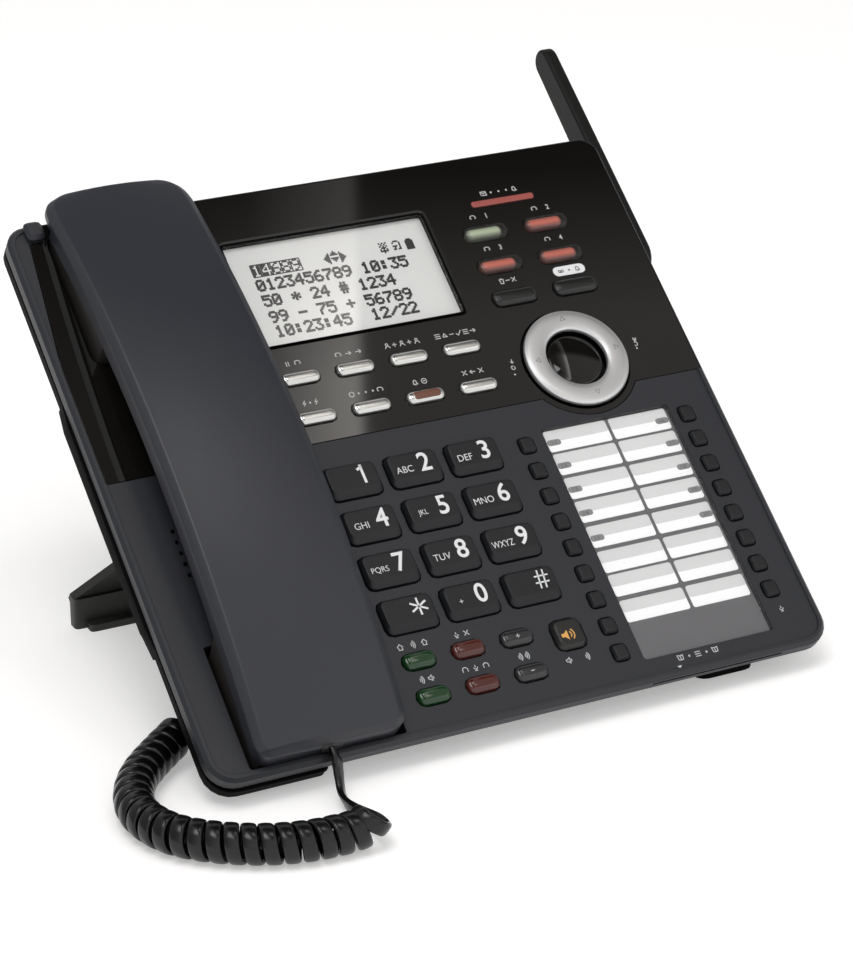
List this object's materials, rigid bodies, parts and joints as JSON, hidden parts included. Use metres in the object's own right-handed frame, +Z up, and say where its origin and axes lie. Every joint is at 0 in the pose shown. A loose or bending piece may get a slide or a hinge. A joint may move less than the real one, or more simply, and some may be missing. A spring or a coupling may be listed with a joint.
{
  "type": "multi-line desk telephone",
  "caption": "Corded desk telephone on a stand, with a display, line keys, dial pad, memory keys, navigation ring, side aerial and a lifting handset on a curly cord.",
  "frame": {"origin": "on the desk under the middle of the telephone, measured without the cord and its plugs", "axes": "X to the right across the face, Y away from the person using it, Z up"},
  "size_m": [0.2558, 0.2498, 0.1574],
  "materials": {
    "housing": "satin blue-black moulded plastic",
    "dark_housing": "matt black moulded plastic",
    "gloss_black": "polished brown-black plastic",
    "key_black": "satin black plastic",
    "silver_plastic": "satin silver paint on plastic",
    "green_lens": "translucent green plastic",
    "red_lens": "translucent red plastic",
    "clear_plastic": "clear plastic",
    "paper": "printed card",
    "board": "coated fibreglass board",
    "rubber": "moulded silicone rubber",
    "metal": "pressed sheet metal",
    "cord": "glossy black cable sheath"
  },
  "bodies": {
    "base": {"top_housing": "housing", "bottom_housing": "dark_housing", "display_fascia": "gloss_black", "desk_stand": "dark_housing", "loudspeaker": "metal", "key_mat": "rubber", "circuit_board": "board", "lcd_window": "clear_plastic", "lcd_module": "metal", "message_lamp": "red_lens", "nav_centre_cap": "gloss_black", "directory_card_cover": "clear_plastic", "handset_cord_coil": "cord", "base_plug": "clear_plastic"},
    "dial_key_1_body": {"dial_key_1": "key_black"},
    "dial_key_2_body": {"dial_key_2": "key_black"},
    "dial_key_3_body": {"dial_key_3": "key_black"},
    "dial_key_4_body": {"dial_key_4": "key_black"},
    "dial_key_5_body": {"dial_key_5": "key_black"},
    "dial_key_6_body": {"dial_key_6": "key_black"},
    "dial_key_7_body": {"dial_key_7": "key_black"},
    "dial_key_8_body": {"dial_key_8": "key_black"},
    "dial_key_9_body": {"dial_key_9": "key_black"},
    "dial_key_star_body": {"dial_key_star": "key_black"},
    "dial_key_0_body": {"dial_key_0": "key_black"},
    "dial_key_hash_body": {"dial_key_hash": "key_black"},
    "function_key_hold_body": {"function_key_hold": "silver_plastic"},
    "function_key_transfer_body": {"function_key_transfer": "silver_plastic"},
    "function_key_conference_body": {"function_key_conference": "silver_plastic"},
    "function_key_menu_body": {"function_key_menu": "silver_plastic"},
    "function_key_flash_body": {"function_key_flash": "silver_plastic"},
    "function_key_redial_body": {"function_key_redial": "silver_plastic"},
    "function_key_do_not_disturb_body": {"function_key_do_not_disturb": "silver_plastic"},
    "function_key_cancel_body": {"function_key_cancel": "silver_plastic"},
    "line_key_1_body": {"line_key_1": "green_lens"},
    "line_key_2_body": {"line_key_2": "red_lens"},
    "line_key_3_body": {"line_key_3": "red_lens"},
    "line_key_4_body": {"line_key_4": "red_lens"},
    "delete_key_body": {"delete_key": "key_black"},
    "answer_key_body": {"answer_key": "key_black"},
    "intercom_key_body": {"intercom_key": "green_lens"},
    "mute_key_body": {"mute_key": "red_lens"},
    "volume_up_key_body": {"volume_up_key": "key_black"},
    "page_key_body": {"page_key": "green_lens"},
    "headset_key_body": {"headset_key": "red_lens"},
    "volume_down_key_body": {"volume_down_key": "key_black"},
    "speaker_key_body": {"speaker_key": "key_black"},
    "memory_keys_left_body": {"memory_keys_left": "key_black"},
    "memory_keys_right_body": {"memory_keys_right": "key_black"},
    "aerial_body": {"antenna": "dark_housing"},
    "card_body": {"directory_card": "paper"},
    "hook_body": {"hook_plunger": "key_black"},
    "nav_rocker_body": {"nav_rocker_frame": "dark_housing"},
    "nav_ring_body": {"nav_ring": "silver_plastic"},
    "handset": {"handset_back_shell": "housing", "handset_face_shell": "housing", "handset_receiver": "metal", "handset_microphone": "metal", "handset_plug": "clear_plastic", "handset_cord_tail": "cord"}
  },
  "joints": [
    {"name": "dial_key_1_press", "type": "slide", "parent": "base", "child": "dial_key_1_body", "axis": [0, -0.606, 0.7955], "range_m": [-0.0015, 0], "stiffness_N_per_m": 400, "springref_m": 0.001},
    {"name": "dial_key_2_press", "type": "slide", "parent": "base", "child": "dial_key_2_body", "axis": [0, -0.606, 0.7955], "range_m": [-0.0015, 0], "stiffness_N_per_m": 400, "springref_m": 0.001},
    {"name": "dial_key_3_press", "type": "slide", "parent": "base", "child": "dial_key_3_body", "axis": [0, -0.606, 0.7955], "range_m": [-0.0015, 0], "stiffness_N_per_m": 400, "springref_m": 0.001},
    {"name": "dial_key_4_press", "type": "slide", "parent": "base", "child": "dial_key_4_body", "axis": [0, -0.606, 0.7955], "range_m": [-0.0015, 0], "stiffness_N_per_m": 400, "springref_m": 0.001},
    {"name": "dial_key_5_press", "type": "slide", "parent": "base", "child": "dial_key_5_body", "axis": [0, -0.606, 0.7955], "range_m": [-0.0015, 0], "stiffness_N_per_m": 400, "springref_m": 0.001},
    {"name": "dial_key_6_press", "type": "slide", "parent": "base", "child": "dial_key_6_body", "axis": [0, -0.606, 0.7955], "range_m": [-0.0015, 0], "stiffness_N_per_m": 400, "springref_m": 0.001},
    {"name": "dial_key_7_press", "type": "slide", "parent": "base", "child": "dial_key_7_body", "axis": [0, -0.606, 0.7955], "range_m": [-0.0015, 0], "stiffness_N_per_m": 400, "springref_m": 0.001},
    {"name": "dial_key_8_press", "type": "slide", "parent": "base", "child": "dial_key_8_body", "axis": [0, -0.606, 0.7955], "range_m": [-0.0015, 0], "stiffness_N_per_m": 400, "springref_m": 0.001},
    {"name": "dial_key_9_press", "type": "slide", "parent": "base", "child": "dial_key_9_body", "axis": [0, -0.606, 0.7955], "range_m": [-0.0015, 0], "stiffness_N_per_m": 400, "springref_m": 0.001},
    {"name": "dial_key_star_press", "type": "slide", "parent": "base", "child": "dial_key_star_body", "axis": [0, -0.606, 0.7955], "range_m": [-0.0015, 0], "stiffness_N_per_m": 400, "springref_m": 0.001},
    {"name": "dial_key_0_press", "type": "slide", "parent": "base", "child": "dial_key_0_body", "axis": [0, -0.606, 0.7955], "range_m": [-0.0015, 0], "stiffness_N_per_m": 400, "springref_m": 0.001},
    {"name": "dial_key_hash_press", "type": "slide", "parent": "base", "child": "dial_key_hash_body", "axis": [0, -0.606, 0.7955], "range_m": [-0.0015, 0], "stiffness_N_per_m": 400, "springref_m": 0.001},
    {"name": "function_key_hold_press", "type": "slide", "parent": "base", "child": "function_key_hold_body", "axis": [0, -0.606, 0.7955], "range_m": [-0.0012, 0], "stiffness_N_per_m": 400, "springref_m": 0.001},
    {"name": "function_key_transfer_press", "type": "slide", "parent": "base", "child": "function_key_transfer_body", "axis": [0, -0.606, 0.7955], "range_m": [-0.0012, 0], "stiffness_N_per_m": 400, "springref_m": 0.001},
    {"name": "function_key_conference_press", "type": "slide", "parent": "base", "child": "function_key_conference_body", "axis": [0, -0.606, 0.7955], "range_m": [-0.0012, 0], "stiffness_N_per_m": 400, "springref_m": 0.001},
    {"name": "function_key_menu_press", "type": "slide", "parent": "base", "child": "function_key_menu_body", "axis": [0, -0.606, 0.7955], "range_m": [-0.0012, 0], "stiffness_N_per_m": 400, "springref_m": 0.001},
    {"name": "function_key_flash_press", "type": "slide", "parent": "base", "child": "function_key_flash_body", "axis": [0, -0.606, 0.7955], "range_m": [-0.0012, 0], "stiffness_N_per_m": 400, "springref_m": 0.001},
    {"name": "function_key_redial_press", "type": "slide", "parent": "base", "child": "function_key_redial_body", "axis": [0, -0.606, 0.7955], "range_m": [-0.0012, 0], "stiffness_N_per_m": 400, "springref_m": 0.001},
    {"name": "function_key_do_not_disturb_press", "type": "slide", "parent": "base", "child": "function_key_do_not_disturb_body", "axis": [0, -0.606, 0.7955], "range_m": [-0.0012, 0], "stiffness_N_per_m": 400, "springref_m": 0.001},
    {"name": "function_key_cancel_press", "type": "slide", "parent": "base", "child": "function_key_cancel_body", "axis": [0, -0.606, 0.7955], "range_m": [-0.0012, 0], "stiffness_N_per_m": 400, "springref_m": 0.001},
    {"name": "line_key_1_press", "type": "slide", "parent": "base", "child": "line_key_1_body", "axis": [0, -0.606, 0.7955], "range_m": [-0.0012, 0], "stiffness_N_per_m": 400, "springref_m": 0.001},
    {"name": "line_key_2_press", "type": "slide", "parent": "base", "child": "line_key_2_body", "axis": [0, -0.606, 0.7955], "range_m": [-0.0012, 0], "stiffness_N_per_m": 400, "springref_m": 0.001},
    {"name": "line_key_3_press", "type": "slide", "parent": "base", "child": "line_key_3_body", "axis": [0, -0.606, 0.7955], "range_m": [-0.0012, 0], "stiffness_N_per_m": 400, "springref_m": 0.001},
    {"name": "line_key_4_press", "type": "slide", "parent": "base", "child": "line_key_4_body", "axis": [0, -0.606, 0.7955], "range_m": [-0.0012, 0], "stiffness_N_per_m": 400, "springref_m": 0.001},
    {"name": "delete_key_press", "type": "slide", "parent": "base", "child": "delete_key_body", "axis": [0, -0.606, 0.7955], "range_m": [-0.0012, 0], "stiffness_N_per_m": 400, "springref_m": 0.001},
    {"name": "answer_key_press", "type": "slide", "parent": "base", "child": "answer_key_body", "axis": [0, -0.606, 0.7955], "range_m": [-0.0012, 0], "stiffness_N_per_m": 400, "springref_m": 0.001},
    {"name": "intercom_key_press", "type": "slide", "parent": "base", "child": "intercom_key_body", "axis": [0, -0.606, 0.7955], "range_m": [-0.0012, 0], "stiffness_N_per_m": 400, "springref_m": 0.001},
    {"name": "mute_key_press", "type": "slide", "parent": "base", "child": "mute_key_body", "axis": [0, -0.606, 0.7955], "range_m": [-0.0012, 0], "stiffness_N_per_m": 400, "springref_m": 0.001},
    {"name": "volume_up_key_press", "type": "slide", "parent": "base", "child": "volume_up_key_body", "axis": [0, -0.606, 0.7955], "range_m": [-0.0012, 0], "stiffness_N_per_m": 400, "springref_m": 0.001},
    {"name": "page_key_press", "type": "slide", "parent": "base", "child": "page_key_body", "axis": [0, -0.606, 0.7955], "range_m": [-0.0012, 0], "stiffness_N_per_m": 400, "springref_m": 0.001},
    {"name": "headset_key_press", "type": "slide", "parent": "base", "child": "headset_key_body", "axis": [0, -0.606, 0.7955], "range_m": [-0.0012, 0], "stiffness_N_per_m": 400, "springref_m": 0.001},
    {"name": "volume_down_key_press", "type": "slide", "parent": "base", "child": "volume_down_key_body", "axis": [0, -0.606, 0.7955], "range_m": [-0.0012, 0], "stiffness_N_per_m": 400, "springref_m": 0.001},
    {"name": "speaker_key_press", "type": "slide", "parent": "base", "child": "speaker_key_body", "axis": [0, -0.606, 0.7955], "range_m": [-0.0012, 0], "stiffness_N_per_m": 400, "springref_m": 0.001},
    {"name": "memory_keys_left_press", "type": "slide", "parent": "base", "child": "memory_keys_left_body", "axis": [0, -0.606, 0.7955], "range_m": [-0.0012, 0], "stiffness_N_per_m": 500, "springref_m": 0.001},
    {"name": "memory_keys_right_press", "type": "slide", "parent": "base", "child": "memory_keys_right_body", "axis": [0, -0.606, 0.7955], "range_m": [-0.0012, 0], "stiffness_N_per_m": 500, "springref_m": 0.001},
    {"name": "nav_rock_up_down", "type": "hinge", "parent": "base", "child": "nav_rocker_body", "pos_m": [0.0638, -0.00531, 0.07978], "axis": [1, 0, 0], "range_deg": [-1.3, 1.3], "stiffness_Nm_per_rad": 0.4},
    {"name": "nav_rock_left_right", "type": "hinge", "parent": "nav_rocker_body", "child": "nav_ring_body", "pos_m": [0.0638, -0.00531, 0.07978], "axis": [0, 0.7955, 0.606], "range_deg": [-1.3, 1.3], "stiffness_Nm_per_rad": 0.4},
    {"name": "handset_lift", "type": "slide", "parent": "base", "child": "handset", "axis": [0, -0.606, 0.7955], "range_m": [0, 0.08]},
    {"name": "hook_plunger_slide", "type": "slide", "parent": "base", "child": "hook_body", "axis": [0, -0.606, 0.7955], "range_m": [0, 0.003]},
    {"name": "antenna_swivel", "type": "hinge", "parent": "base", "child": "aerial_body", "pos_m": [0.1049, 0.03276, 0.0996], "axis": [1, 0, 0], "range_deg": [0, 90]},
    {"name": "directory_card_slide", "type": "slide", "parent": "base", "child": "card_body", "axis": [0, -0.7955, -0.606], "range_m": [0, 0.09]}
  ],
  "couplings": [
    {"joint": "hook_plunger_slide", "follows": "handset_lift", "ratio": 0.0375}
  ]
}
